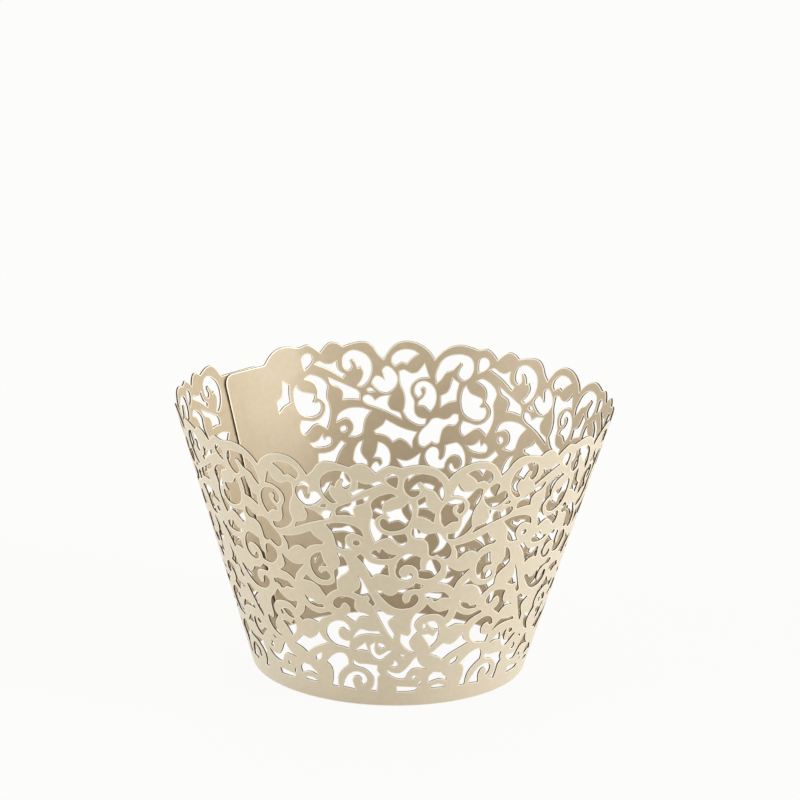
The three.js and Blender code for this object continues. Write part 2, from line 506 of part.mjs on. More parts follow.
// The curled card: outer face, inner face and the cut edges between them
function wrapperGeometry() {
  const outline = sheetOutline();
  const windows = Object.values(WINDOWS).map((list) => closedOutline(list, WINDOW_ERROR));
  const pinholes = PINHOLES.map(pinholeOutline);
  const holes = [...windows, ...pinholes].flatMap(allRound);
  const rounds = holes.map((hole) => (THREE.ShapeUtils.isClockWise(hole) ? hole : hole.reverse()));
  const points = [outline, ...rounds].flat();
  const triangles = THREE.ShapeUtils.triangulateShape(outline, rounds);
  splitWideTriangles(points, triangles);

  const count = points.length;
  const positions = [...points.flatMap((p) => onCup(p, 1)), ...points.flatMap((p) => onCup(p, -1))];
  const faces = [];
  const directed = new Set();
  for (const [a, b, c] of triangles) {
    faces.push(a, b, c, count + a, count + c, count + b);
    [[a, b], [b, c], [c, a]].forEach(([from, to]) => directed.add(`${from},${to}`));
  }
  for (const edge of directed) {
    const [from, to] = edge.split(',').map(Number);
    if (!directed.has(`${to},${from}`)) {
      faces.push(to, from, count + from, to, count + from, count + to);
    }
  }
  const geometry = new THREE.BufferGeometry();
  geometry.setAttribute('position', new THREE.Float32BufferAttribute(positions, 3));
  geometry.setIndex(faces);
  geometry.computeVertexNormals();
  return geometry;
}

const pearl_card = new THREE.MeshStandardMaterial({ color: 0xdccfb8, roughness: 0.55, metalness: 0.05 });

const wrapper = new THREE.Mesh(wrapperGeometry(), pearl_card);
wrapper.name = 'wrapper';

const cupcake_wrapper = new THREE.Group();
cupcake_wrapper.add(wrapper);

export default cupcake_wrapper;
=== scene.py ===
# A pierced card cupcake wrapper: one strip of pearl card, cut through in a scroll-and-vine
# pattern and curled into an open cup. It stands where the frame's solid stands, in the same
# sizes, with finely cut edges, a pearl face, a floor, soft light and a camera.

import math

import bpy
from mathutils import Matrix, Vector
from mathutils.geometry import delaunay_2d_cdt


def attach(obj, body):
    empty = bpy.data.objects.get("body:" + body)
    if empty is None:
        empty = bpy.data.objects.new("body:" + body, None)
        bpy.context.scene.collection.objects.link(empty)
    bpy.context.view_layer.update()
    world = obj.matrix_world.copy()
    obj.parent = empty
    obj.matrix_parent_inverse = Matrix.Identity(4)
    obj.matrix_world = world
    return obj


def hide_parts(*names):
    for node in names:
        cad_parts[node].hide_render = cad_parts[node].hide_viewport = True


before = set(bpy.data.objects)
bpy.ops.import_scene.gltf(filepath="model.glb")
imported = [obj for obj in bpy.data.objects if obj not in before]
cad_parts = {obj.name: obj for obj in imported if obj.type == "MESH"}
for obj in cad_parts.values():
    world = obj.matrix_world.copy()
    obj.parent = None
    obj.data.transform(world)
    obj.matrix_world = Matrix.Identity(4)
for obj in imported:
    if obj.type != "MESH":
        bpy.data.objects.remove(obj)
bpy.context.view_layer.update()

# Sizes of the wrapper, in millimetres and degrees, as in the part's source
MM = 0.001
BASE_DIAMETER = 50
RIM_DIAMETER = 80
HEIGHT = 50
CARD = 0.35
BASE_BAND = 3.05
REPEATS = 7
PATTERN_TURN = -32.3
SEAM_TURN = -140
SEAM_LAP = 9
SEAM_GAP = 0.25
SEAM_RAMP = 8
SEAM_MARGIN = 1
END_DROP = 2.8
END_CORNER = 2

# How finely curves are followed, and the spacing of the points inside the card
CURVE_ERROR = 0.012
CURVE_STEPS = 8
CORNER_STEPS = 10
PINHOLE_SIDES = 24
INNER_SPACING = 2.5
TINY = 1e-4
JOIN_WITHIN = 1e-6

# The texture map holds the flat sheet, with this many millimetres to its unit
SHEET_UNIT = 100

# The rim along each cut, which the cutting left slightly rounded
RIM_WIDTH = 0.2
RIM_DEPTH = 0.05
SHARPEST_REACH = 0.5

# The pattern is drawn flat, in a panel this wide and this tall, and fitted to the cup
PANEL_WIDTH = 29.8
PANEL_BAND = 3.05
PANEL_TOP = 52.2
SHARP = 1

# The scalloped rim of one repeat, from notch to notch
RIM = [
    [-2.75, 49.0, SHARP], [-2.0, 50.2], [-0.8, 51.3], [0.6, 52.0], [2.0, 52.2], [3.3, 51.9],
    [4.4, 51.0], [5.1, 49.9], [5.75, 48.65, SHARP], [6.6, 49.6], [7.4, 51.0], [8.4, 51.9],
    [9.6, 52.05], [11.0, 51.75], [12.4, 51.25, SHARP], [13.3, 51.95], [14.4, 52.15], [15.2, 51.7],
    [16.3, 50.35, SHARP], [17.3, 51.4], [18.4, 52.05], [19.9, 51.65], [21.3, 52.0], [22.7, 52.2],
    [24.2, 51.85], [25.5, 51.0], [26.4, 50.0],
]

# The windows of one repeat. A point with SHARP is a corner, and a smooth curve runs through
# the rest.
WINDOWS = {
    "leaf_in_tall_arch": [
        [0.1, 49.85, SHARP], [0.9, 50.4], [2.2, 50.55], [3.4, 50.1], [4.2, 49.1], [4.25, 48.0],
        [3.8, 47.4, SHARP], [3.2, 47.85], [2.7, 48.15], [1.9, 47.85, SHARP], [1.35, 48.7],
        [0.75, 49.3],
    ],
    "long_drop": [
        [-1.1, 48.0, SHARP], [-0.6, 47.0], [0.15, 46.15], [1.1, 46.0], [2.3, 46.6],
        [3.0, 46.3, SHARP], [2.95, 45.2], [2.75, 43.8], [2.15, 42.4], [1.85, 40.9], [1.9, 39.6],
        [2.15, 38.6, SHARP], [1.3, 37.3], [0.1, 36.5], [-0.9, 36.2], [-1.7, 36.4],
        [-1.9, 37.4, SHARP], [-0.8, 37.5], [0.0, 38.1], [0.35, 39.2], [0.4, 40.7], [1.1, 42.2],
        [1.1, 43.5], [0.4, 44.6], [-0.6, 45.25], [-1.95, 45.45, SHARP],
    ],
    "snail": [
        [-2.6, 39.0, SHARP], [-3.2, 40.1], [-3.45, 41.5], [-3.2, 43.0], [-2.3, 44.2], [-1.1, 44.6],
        [-0.1, 44.1], [0.3, 43.1], [0.2, 42.1], [-0.35, 41.5, SHARP], [-0.85, 42.1],
        [-0.6, 43.1, SHARP], [-1.0, 43.5], [-1.5, 43.2], [-1.6, 42.4], [-1.2, 41.4], [-0.5, 40.6],
        [-0.45, 39.95, SHARP], [-1.5, 39.9], [-2.2, 39.3],
    ],
    "heart": [
        [5.45, 44.5, SHARP], [6.0, 45.0], [6.85, 45.35], [7.5, 44.6], [7.65, 43.9, SHARP],
        [6.9, 43.0], [6.0, 42.3], [5.0, 42.2], [4.1, 42.9], [3.5, 44.0], [3.45, 45.2], [4.0, 46.3],
        [5.1, 47.2], [5.8, 46.6], [5.6, 45.5],
    ],
    "seed_by_heart": [
        [7.3, 42.4, SHARP], [7.9, 43.05], [8.4, 42.95], [8.3, 42.45],
    ],
    "hook_in_wide_arch": [
        [10.1, 43.6, SHARP], [9.3, 44.9], [9.0, 46.1], [9.5, 47.25, SHARP], [10.0, 47.0, SHARP],
        [10.45, 48.2], [11.15, 48.85], [11.35, 48.3], [11.1, 47.2], [11.7, 46.6], [12.3, 47.1],
        [12.5, 48.2], [12.2, 49.5], [10.9, 50.35], [9.4, 49.95], [8.4, 49.1], [7.85, 47.9],
        [7.75, 46.5], [8.1, 45.0], [8.8, 43.9], [9.5, 43.4],
    ],
    "wedge_over_stem": [
        [13.65, 48.4, SHARP], [14.5, 47.95], [15.5, 48.0], [16.7, 48.6], [17.3, 48.2, SHARP],
        [15.0, 46.95], [12.7, 45.2, SHARP], [12.4, 45.8], [13.2, 46.4], [13.6, 47.3],
    ],
    "wedge_under_stem": [
        [15.15, 45.4, SHARP], [14.9, 44.6], [14.35, 43.9], [13.2, 43.35], [12.65, 42.5],
        [12.8, 41.1, SHARP], [11.4, 41.15], [9.95, 40.95, SHARP], [9.9, 42.0], [10.3, 42.7, SHARP],
    ],
    "slipper": [
        [4.6, 41.65, SHARP], [6.0, 41.4], [6.7, 41.0], [7.25, 40.55, SHARP], [7.7, 41.3],
        [8.4, 41.7], [9.1, 41.45], [9.15, 40.7], [8.5, 40.0], [7.0, 39.4], [5.2, 38.65],
        [2.4, 37.15, SHARP], [2.85, 38.3], [3.6, 38.6], [4.4, 38.9], [5.0, 39.9], [4.95, 40.8],
    ],
    "tall_snake": [
        [-10.45, 45.6, SHARP], [-11.2, 46.15], [-12.7, 45.7], [-13.8, 44.8], [-14.3, 43.8],
        [-14.1, 42.6], [-14.0, 41.6], [-14.4, 40.2], [-14.5, 38.8], [-14.2, 37.2],
        [-13.65, 35.75, SHARP], [-12.8, 36.4], [-11.9, 36.8], [-11.0, 36.5], [-10.1, 35.7],
        [-9.2, 35.05], [-8.7, 35.4], [-8.45, 36.6], [-8.85, 37.7, SHARP], [-10.0, 37.5],
        [-11.4, 37.3], [-12.7, 37.8], [-13.6, 39.1], [-13.8, 40.3], [-13.2, 41.3],
        [-12.45, 41.9, SHARP], [-12.6, 43.1], [-12.2, 44.4], [-11.4, 45.15],
    ],
    "bowl": [
        [-8.6, 44.4, SHARP], [-8.15, 43.7], [-7.95, 42.3], [-8.1, 40.8], [-8.7, 39.3],
        [-9.8, 38.5], [-11.2, 38.25], [-12.4, 38.75], [-12.9, 39.8], [-12.6, 40.8], [-11.9, 40.7],
        [-11.35, 40.95, SHARP], [-11.8, 41.7], [-11.8, 42.35], [-10.8, 42.75], [-9.6, 43.1],
        [-9.0, 43.7],
    ],
    "hook_in_far_arch": [
        [-3.35, 44.45, SHARP], [-4.0, 45.3], [-4.7, 46.6], [-5.9, 47.3], [-6.5, 48.2],
        [-7.15, 48.85], [-7.5, 48.4], [-7.1, 47.2], [-7.05, 46.2], [-7.9, 45.5], [-8.8, 46.1],
        [-9.35, 47.4], [-9.3, 48.8], [-8.7, 49.9], [-7.5, 50.3], [-6.2, 50.2], [-5.0, 49.7],
        [-4.0, 48.7], [-3.45, 47.3], [-3.15, 45.8],
    ],
    "thumb": [
        [-10.5, 47.35, SHARP], [-10.3, 48.6], [-10.4, 49.8], [-11.2, 50.3], [-11.9, 49.9],
        [-12.05, 49.0], [-11.5, 48.1],
    ],
    "boot": [
        [-7.2, 44.8, SHARP], [-6.1, 45.6, SHARP], [-5.85, 44.0], [-5.4, 42.8], [-4.3, 42.0, SHARP],
        [-4.45, 40.0, SHARP], [-5.1, 40.6], [-5.9, 41.1], [-7.0, 41.5, SHARP], [-6.95, 43.0],
    ],
    "fish": [
        [-7.7, 38.8, SHARP], [-6.9, 38.75], [-6.2, 37.9], [-5.2, 37.55], [-4.0, 37.75],
        [-3.1, 37.4], [-2.4, 36.3], [-1.4, 35.2], [-0.85, 33.9], [-1.05, 32.5], [-1.8, 32.05],
        [-2.6, 32.5], [-3.3, 33.2, SHARP], [-3.9, 32.85], [-4.6, 33.1], [-4.8, 34.4], [-5.1, 35.8],
        [-6.0, 36.65], [-7.2, 36.8], [-7.8, 37.7],
    ],
    "wide_star": [
        [-0.4, 34.75, SHARP], [1.2, 35.05], [2.8, 35.6], [5.2, 36.85, SHARP], [5.7, 36.0],
        [7.3, 34.8, SHARP], [7.0, 34.3, SHARP], [5.8, 34.1], [4.6, 33.5], [3.9, 32.75, SHARP],
        [2.7, 33.4], [1.6, 33.0], [0.3, 31.75, SHARP], [0.3, 33.2],
    ],
    "question_mark": [
        [8.0, 38.7, SHARP], [9.6, 39.25], [11.5, 39.3], [12.9, 38.85], [13.8, 38.1],
        [14.25, 36.8, SHARP], [13.4, 37.2], [12.5, 37.5], [11.6, 37.1], [11.1, 36.1], [11.2, 35.1],
        [11.95, 33.95, SHARP], [10.6, 33.9], [9.6, 34.5], [9.35, 35.8], [9.0, 37.2],
    ],
    "sail_with_curl": [
        [6.6, 32.6, SHARP], [5.6, 32.2], [4.7, 31.2], [4.4, 29.9], [4.55, 28.5], [5.2, 27.3],
        [6.4, 26.7], [7.5, 26.9], [8.0, 27.5], [7.7, 28.3], [7.0, 28.8], [6.35, 27.95, SHARP],
        [5.8, 28.6], [6.1, 29.5], [7.45, 29.75, SHARP], [6.95, 30.8],
    ],
    "long_vine": [
        [9.5, 33.0, SHARP], [10.4, 32.4], [11.1, 31.0], [11.4, 29.4, SHARP], [10.6, 28.5],
        [9.6, 27.7], [9.05, 26.8], [9.05, 25.1, SHARP], [7.8, 24.3], [6.7, 23.15, SHARP],
        [6.15, 24.0], [5.5, 25.1], [4.3, 25.9], [2.4, 26.1, SHARP], [3.3, 27.3, SHARP],
        [4.2, 26.3], [5.4, 25.6], [6.8, 25.5], [8.0, 25.9], [8.75, 26.7], [8.75, 28.0],
        [8.8, 29.0, SHARP], [9.6, 29.9], [10.0, 31.0],
    ],
    "pennant": [
        [13.6, 33.1, SHARP], [12.9, 32.5, SHARP], [14.1, 31.0], [15.4, 28.2, SHARP], [16.1, 28.8],
        [17.1, 29.05], [18.45, 28.75, SHARP], [18.2, 31.0, SHARP], [16.6, 31.0], [15.2, 31.4],
        [14.2, 32.4],
    ],
    "little_boat": [
        [16.8, 33.4, SHARP], [17.2, 34.5, SHARP], [18.0, 33.6], [18.8, 33.25],
        [19.75, 33.2, SHARP], [18.9, 32.5], [17.6, 32.25], [16.3, 32.4], [15.55, 32.8],
        [15.55, 33.7], [16.2, 34.1],
    ],
    "twin_curl": [
        [23.8, 32.6, SHARP], [22.7, 33.1], [21.6, 33.4], [20.7, 32.8], [20.0, 31.8], [19.6, 30.4],
        [19.7, 29.0], [20.4, 28.1], [21.4, 27.75], [22.3, 27.95], [22.65, 28.7], [22.25, 29.35],
        [21.85, 28.9], [21.5, 28.4], [20.8, 28.4], [20.2, 29.2], [20.3, 30.2], [21.0, 31.0],
        [22.0, 31.1], [22.9, 30.6], [23.5, 29.6], [23.65, 28.4, SHARP], [24.6, 28.05],
        [25.9, 28.1], [26.9, 28.9], [27.45, 30.2], [27.1, 31.4], [26.2, 32.1], [25.3, 31.9],
        [24.95, 31.0], [24.9, 30.0], [24.4, 29.75], [23.9, 30.3], [23.7, 31.5],
    ],
    "kite": [
        [-1.4, 30.8, SHARP], [-0.1, 29.7], [1.3, 29.1], [3.25, 29.5, SHARP], [2.0, 28.1],
        [1.1, 26.9], [0.6, 25.5, SHARP], [-0.6, 26.5], [-2.4, 27.05, SHARP], [-1.2, 28.2],
        [-1.1, 29.4],
    ],
    "bird": [
        [25.2, 24.6, SHARP], [25.6, 23.75], [26.2, 24.05], [26.85, 23.0, SHARP], [27.5, 23.1],
        [28.3, 23.65], [29.2, 23.6], [29.85, 23.6, SHARP], [29.3, 24.3], [28.6, 24.85],
        [27.6, 24.9], [26.4, 25.0],
    ],
    "ladle": [
        [16.3, 25.35, SHARP], [17.2, 25.3], [17.9, 24.6], [19.0, 24.35], [19.8, 24.8],
        [20.6, 25.8], [22.4, 26.2], [23.3, 27.15, SHARP], [24.7, 26.55, SHARP],
        [24.1, 25.8, SHARP], [22.4, 25.75], [21.3, 25.1], [20.95, 24.0], [21.2, 23.1],
        [21.8, 22.65], [22.35, 23.2], [22.6, 24.2], [23.2, 24.7], [23.85, 24.2], [23.9, 23.2],
        [23.1, 22.1], [21.6, 21.6], [20.0, 21.7], [18.6, 22.5], [17.4, 23.8],
    ],
    "duck": [
        [10.3, 19.4, SHARP], [12.0, 18.25, SHARP], [12.8, 19.3], [13.7, 19.65],
        [15.2, 19.45, SHARP], [14.0, 20.25], [12.7, 20.5], [12.1, 21.4], [12.25, 23.1, SHARP],
        [11.2, 23.5], [9.9, 23.6], [8.8, 23.2], [8.1, 22.3], [8.05, 21.4], [8.7, 20.9],
        [9.4, 21.2], [9.8, 22.0], [10.4, 22.3], [11.1, 21.7], [11.3, 20.9], [11.0, 20.1],
    ],
    "thorn_left_of_stem": [
        [13.0, 28.6, SHARP], [13.9, 27.0], [14.9, 24.7], [16.0, 22.5, SHARP], [15.6, 22.0, SHARP],
        [14.75, 22.9, SHARP], [15.05, 23.6], [14.7, 24.25], [13.7, 24.1], [12.1, 24.75, SHARP],
        [13.0, 25.5], [13.4, 26.6],
    ],
    "thorn_right_of_stem": [
        [16.1, 20.9, SHARP], [17.0, 21.2], [18.2, 20.3], [19.95, 19.95, SHARP], [18.9, 19.2],
        [18.4, 18.4], [18.9, 17.2], [19.6, 16.0], [19.5, 14.7, SHARP], [18.4, 16.3], [17.1, 18.9],
    ],
    "dish": [
        [2.1, 22.9, SHARP], [2.8, 22.2], [3.9, 21.9], [4.6, 21.2], [5.9, 21.2], [5.9, 20.6, SHARP],
        [4.3, 20.6], [2.9, 21.3],
    ],
    "swallow": [
        [1.95, 20.35, SHARP], [1.65, 19.2], [0.9, 18.2], [0.2, 17.6, SHARP], [0.85, 16.95, SHARP],
        [2.4, 17.6], [4.3, 17.15, SHARP], [5.4, 18.3], [7.6, 19.4, SHARP], [7.1, 19.85],
        [5.0, 19.2], [3.4, 19.5],
    ],
    "great_curl": [
        [30.1, 20.95, SHARP], [29.85, 20.0], [29.35, 19.15, SHARP], [28.3, 20.0], [27.0, 20.25],
        [25.7, 20.1], [24.5, 19.5], [23.75, 18.5], [23.7, 17.4], [24.3, 16.35, SHARP],
        [23.3, 15.1], [22.85, 13.9], [23.3, 12.8], [24.25, 11.8, SHARP], [22.9, 12.3],
        [21.7, 13.3], [21.1, 14.5], [21.1, 15.9, SHARP], [22.6, 15.6], [23.1, 16.4], [23.0, 17.7],
        [23.1, 19.0], [23.6, 20.2], [24.8, 21.2], [25.75, 22.5, SHARP], [26.6, 21.5], [28.2, 20.6],
    ],
    "sliver_in_leaf": [
        [25.35, 18.1, SHARP], [25.9, 17.9], [26.0, 17.0, SHARP], [25.5, 17.2],
    ],
    "upper_half_leaf": [
        [26.15, 18.4, SHARP], [27.3, 18.6], [28.2, 17.9], [28.65, 16.8, SHARP], [27.5, 17.0],
        [26.8, 17.6],
    ],
    "lower_half_leaf": [
        [25.35, 15.65, SHARP], [26.6, 15.75], [27.6, 15.3], [28.45, 16.3, SHARP], [28.65, 15.2],
        [28.3, 14.0], [27.2, 12.85, SHARP], [26.5, 14.2],
    ],
    "scroll": [
        [10.95, 16.3, SHARP], [10.3, 16.15], [9.6, 16.75], [8.8, 16.5], [8.4, 15.5], [8.8, 14.4],
        [9.9, 13.9], [10.7, 13.9, SHARP], [10.35, 12.3, SHARP], [9.0, 12.6], [7.6, 12.8],
        [6.3, 13.9], [5.85, 15.1], [6.1, 16.2], [6.9, 17.2], [8.2, 18.0], [9.6, 18.1],
        [10.6, 17.3],
    ],
    "brow": [
        [11.3, 14.4, SHARP], [12.4, 15.2], [13.8, 15.7], [15.4, 15.85], [17.1, 15.75, SHARP],
        [16.6, 16.5, SHARP], [14.8, 16.4], [13.2, 16.7], [12.3, 16.0],
    ],
    "low_crescent": [
        [15.9, 14.0, SHARP], [15.0, 13.2], [14.95, 12.0], [15.5, 10.9], [16.9, 10.15],
        [18.1, 11.0], [19.6, 12.25, SHARP], [18.6, 12.2], [17.6, 11.5], [16.7, 11.2], [15.9, 11.8],
        [15.75, 12.9],
    ],
    "drop_in_crescent": [
        [16.7, 13.9, SHARP], [17.5, 13.7], [17.85, 13.1], [17.2, 12.8, SHARP], [16.6, 13.3],
    ],
    "low_star": [
        [-2.4, 11.25, SHARP], [-0.8, 10.8], [0.6, 9.9, SHARP], [1.9, 11.0], [3.6, 11.9],
        [5.9, 12.95, SHARP], [4.9, 13.7], [4.1, 15.1, SHARP], [3.2, 13.9], [1.9, 13.1],
        [0.2, 13.5, SHARP], [-0.9, 12.5],
    ],
    "seed": [
        [2.6, 8.5, SHARP], [2.6, 9.4], [4.1, 10.4, SHARP], [3.9, 9.4], [3.4, 8.9],
    ],
    "low_bridge": [
        [-1.9, 5.0, SHARP], [-0.4, 5.5], [1.0, 5.6], [2.25, 5.1, SHARP], [2.2, 5.7], [1.4, 6.3],
        [0.8, 7.0, SHARP], [-1.1, 7.15, SHARP], [-1.9, 6.3],
    ],
    "base_sliver": [
        [-1.4, 3.75, SHARP], [-0.6, 4.25], [0.8, 4.35], [2.55, 3.75, SHARP], [0.6, 3.65],
    ],
    "flask": [
        [5.0, 8.6, SHARP], [5.7, 8.1], [6.2, 7.3], [6.25, 5.5], [5.75, 3.55, SHARP],
        [7.3, 3.45, SHARP], [7.35, 5.6], [8.1, 7.0], [10.05, 8.7, SHARP], [9.95, 10.2],
        [9.2, 11.0], [7.8, 10.9], [6.4, 10.0], [5.6, 9.2],
    ],
    "base_curl": [
        [8.3, 3.6, SHARP], [8.9, 5.0], [10.0, 6.4], [11.4, 7.2], [12.8, 7.1], [13.8, 6.3],
        [13.9, 5.2], [13.1, 4.5], [12.7, 4.9, SHARP], [12.9, 5.6], [12.2, 6.35], [11.2, 6.2],
        [10.7, 5.3], [11.2, 3.3, SHARP],
    ],
    "base_hood": [
        [11.35, 9.75, SHARP], [11.15, 8.9], [12.0, 8.45], [13.5, 8.1], [14.8, 7.2], [15.6, 6.1],
        [15.6, 4.6], [14.9, 3.35, SHARP], [16.1, 3.2, SHARP], [16.35, 4.8], [16.35, 6.1],
        [16.95, 6.9, SHARP], [16.3, 7.8], [16.35, 8.9, SHARP], [14.0, 9.1], [12.3, 9.1],
    ],
    "comma": [
        [19.95, 10.15, SHARP], [20.6, 9.5], [20.6, 8.9], [20.0, 8.65], [19.3, 8.95, SHARP],
        [19.9, 9.4],
    ],
    "low_wave": [
        [18.2, 8.1, SHARP], [19.0, 7.0], [20.2, 6.3], [21.5, 6.0], [22.4, 6.15], [23.0, 7.3],
        [23.9, 8.2], [25.2, 8.35], [27.3, 8.0, SHARP], [25.9, 8.8], [25.1, 9.7],
        [24.6, 10.9, SHARP], [23.9, 10.1], [23.2, 9.0], [22.3, 8.0], [21.2, 7.3], [19.6, 7.4],
    ],
    "tick": [
        [25.6, 4.4, SHARP], [26.2, 4.9], [26.05, 5.55, SHARP], [25.75, 5.0],
    ],
    "base_slot": [
        [20.7, 4.3, SHARP], [20.9, 3.15, SHARP], [23.4, 3.2], [25.0, 3.4], [25.7, 3.95, SHARP],
        [24.4, 4.1], [22.6, 4.2],
    ],
    "notch_by_curl": [
        [20.8, 11.5, SHARP], [21.9, 10.7, SHARP], [22.0, 11.3, SHARP],
    ],
    "fin": [
        [11.6, 11.8, SHARP], [13.0, 12.2], [14.4, 12.0, SHARP], [14.2, 12.9], [13.9, 13.8, SHARP],
        [12.7, 12.8],
    ],
}

# Round pinholes of one repeat, each a centre and a radius
PINHOLES = [
    (13.0, 35.4, 0.55),
    (24.5, 6.3, 0.38),
]

# Sizes worked out from those above
base_radius = BASE_DIAMETER / 2
rim_radius = RIM_DIAMETER / 2
slant = math.hypot(HEIGHT, rim_radius - base_radius)
turn_per_x = 360 / REPEATS / PANEL_WIDTH
x_per_mm = 1 / math.radians(turn_per_x * (base_radius + rim_radius) / 2)
lap = SEAM_LAP * x_per_mm
ramp = SEAM_RAMP * x_per_mm
margin = SEAM_MARGIN * x_per_mm
wall = CARD * slant / HEIGHT
lap_shift = (wall + SEAM_GAP) / 2
sheet_start = (SEAM_TURN - PATTERN_TURN) / turn_per_x
sheet_close = sheet_start + REPEATS * PANEL_WIDTH
sheet_end = sheet_close + lap


def slope(y):
    """Height on the slope of the wall, from a height in the drawn panel."""
    if y <= PANEL_BAND:
        return y * BASE_BAND / PANEL_BAND
    return BASE_BAND + (y - PANEL_BAND) * (slant - BASE_BAND) / (PANEL_TOP - PANEL_BAND)


def smoothstep(value, low, high):
    """A smooth rise from 0 to 1 between two values."""
    share = min(1, max(0, (value - low) / (high - low)))
    return share * share * (3 - 2 * share)


def thinned(run):
    """The fewest points of a run that stay within the curve error of all of them."""
    along = run[-1] - run[0]
    length = along.length
    worst = 0
    farthest = 0
    for i in range(1, len(run) - 1):
        across = run[i] - run[0]
        off = abs(along.cross(across)) / length if length else across.length
        if off > worst:
            worst = off
            farthest = i
    if worst <= CURVE_ERROR:
        return [run[0], run[-1]]
    return thinned(run[: farthest + 1])[:-1] + thinned(run[farthest:])


def smooth_run(points):
    """One smooth centripetal curve through a run of points, as short straight pieces."""
    if len(points) == 2:
        return points
    knots = [2 * points[0] - points[1], *points, 2 * points[-1] - points[-2]]
    fine = [points[0]]
    for p0, p1, p2, p3 in zip(knots, knots[1:], knots[2:], knots[3:]):
        d0, d1, d2 = [math.sqrt((b - a).length) or 1 for a, b in ((p0, p1), (p1, p2), (p2, p3))]
        t1 = ((p1 - p0) / d0 - (p2 - p0) / (d0 + d1) + (p2 - p1) / d1) * d1
        t2 = ((p2 - p1) / d1 - (p3 - p1) / (d1 + d2) + (p3 - p2) / d2) * d1
        for step in range(1, CURVE_STEPS + 1):
            t = step / CURVE_STEPS
            cubic = (2 * t - 3) * t * t
            fine.append(
                p1 * (cubic + 1) + p2 * -cubic + t1 * (t * (t - 1) ** 2) + t2 * (t * t * (t - 1))
            )
    return thinned(fine)


def outline_of(drawn):
    """A closed outline from its list of points, which starts at a corner."""
    outline = []
    run = []
    for x, y, *corner in [*drawn, drawn[0]]:
        run.append(Vector((x, y)))
        if corner and len(run) > 1:
            outline += smooth_run(run)[:-1]
            run = run[-1:]
    return outline


def arc(x, y, radius, start, end, steps):
    """Points along an arc, between two turns in degrees."""
    turns = [math.radians(start + (end - start) * i / steps) for i in range(steps + 1)]
    return [Vector((x + radius * math.cos(t), y + radius * math.sin(t))) for t in turns]


def moved(outline, shift):
    """An outline moved along the sheet."""
    return [Vector((p.x + shift, p.y)) for p in outline]


def all_round(outline):
    """Copies of an outline all round, without those that would reach the plain end strips."""
    left = min(p.x for p in outline)
    right = max(p.x for p in outline)
    first = math.floor((sheet_start - left) / PANEL_WIDTH)
    shifts = [i * PANEL_WIDTH for i in range(first, first + REPEATS + 2)]
    return [
        moved(outline, shift)
        for shift in shifts
        if left + shift > sheet_start + lap + margin and right + shift < sheet_close - margin
    ]


def sheet_outline():
    """The whole sheet: level base edge, plain ends with a rounded top corner, scalloped rim."""
    end_top = PANEL_TOP - END_DROP
    corner = END_CORNER * x_per_mm
    next_notch = (RIM[0][0] + PANEL_WIDTH, RIM[0][1], SHARP)
    scallops = [p for p in outline_of([*RIM, next_notch]) if p.x < next_notch[0] - TINY]
    first = math.floor((sheet_start - RIM[0][0]) / PANEL_WIDTH) - 1
    rim = [p for i in range(first, first + REPEATS + 3) for p in moved(scallops, i * PANEL_WIDTH)]
    rim = [p for p in rim if sheet_start + lap < p.x < sheet_close]
    steps = math.ceil((sheet_end - sheet_start) / INNER_SPACING)
    step = (sheet_end - sheet_start) / steps
    base = [Vector((sheet_start + step * i, 0)) for i in range(steps + 1)]
    right = arc(sheet_end - corner, end_top - corner, corner, 0, 90, CORNER_STEPS)
    left = arc(sheet_start + corner, end_top - corner, corner, 90, 180, CORNER_STEPS)
    rim_right = Vector((sheet_close, end_top))
    rim_left = Vector((sheet_start + lap, end_top))
    return [*base, *right, rim_right, *reversed(rim), rim_left, *left]


def inner_points(outlines):
    """A grid of points over the sheet that keeps clear of the outlines' own points."""
    taken = set()
    for p in (p for outline in outlines for p in outline):
        for dx in (-1, 0, 1):
            for dy in (-1, 0, 1):
                taken.add((round(p.x / INNER_SPACING) + dx, round(p.y / INNER_SPACING) + dy))
    columns = range(math.ceil(sheet_start / INNER_SPACING), math.floor(sheet_end / INNER_SPACING))
    rows = range(1, math.floor(PANEL_TOP / INNER_SPACING))
    free = [(i, j) for i in columns for j in rows if (i, j) not in taken]
    return [Vector((i * INNER_SPACING, j * INNER_SPACING)) for i, j in free]


def on_cup(point, side):
    """A point of the flat sheet on the cup, on the inner face (side -1) or the outer face (1)."""
    turn = math.radians(PATTERN_TURN + point.x * turn_per_x)
    rise = slope(point.y) / slant
    outward = 1 - smoothstep(point.x - (sheet_start + lap), 0, ramp)
    inward = smoothstep(point.x - (sheet_close - ramp), 0, ramp)
    radius = base_radius + rise * (rim_radius - base_radius)
    radius += side * wall / 2 + lap_shift * (outward - inward)
    return Vector((radius * math.sin(turn), -radius * math.cos(turn), rise * HEIGHT)) * MM


def card_faces(faces, cuts, first_edge):
    """The triangles that can be reached from the first edge without crossing a cut."""
    owners = {}
    for index, face in enumerate(faces):
        for i in range(3):
            owners.setdefault(frozenset((face[i], face[(i + 1) % 3])), []).append(index)
    waiting = list(owners[frozenset(first_edge)])
    reached = set(waiting)
    while waiting:
        face = faces[waiting.pop()]
        for i in range(3):
            edge = frozenset((face[i], face[(i + 1) % 3]))
            if edge not in cuts:
                fresh = [k for k in owners[edge] if k not in reached]
                reached.update(fresh)
                waiting += fresh
    return [faces[k] for k in sorted(reached)]


def is_anticlockwise(flat, triangle):
    """Whether a triangle of the flat sheet runs anticlockwise."""
    a, b, c = [flat[i] for i in triangle]
    return (b - a).cross(c - a) > 0


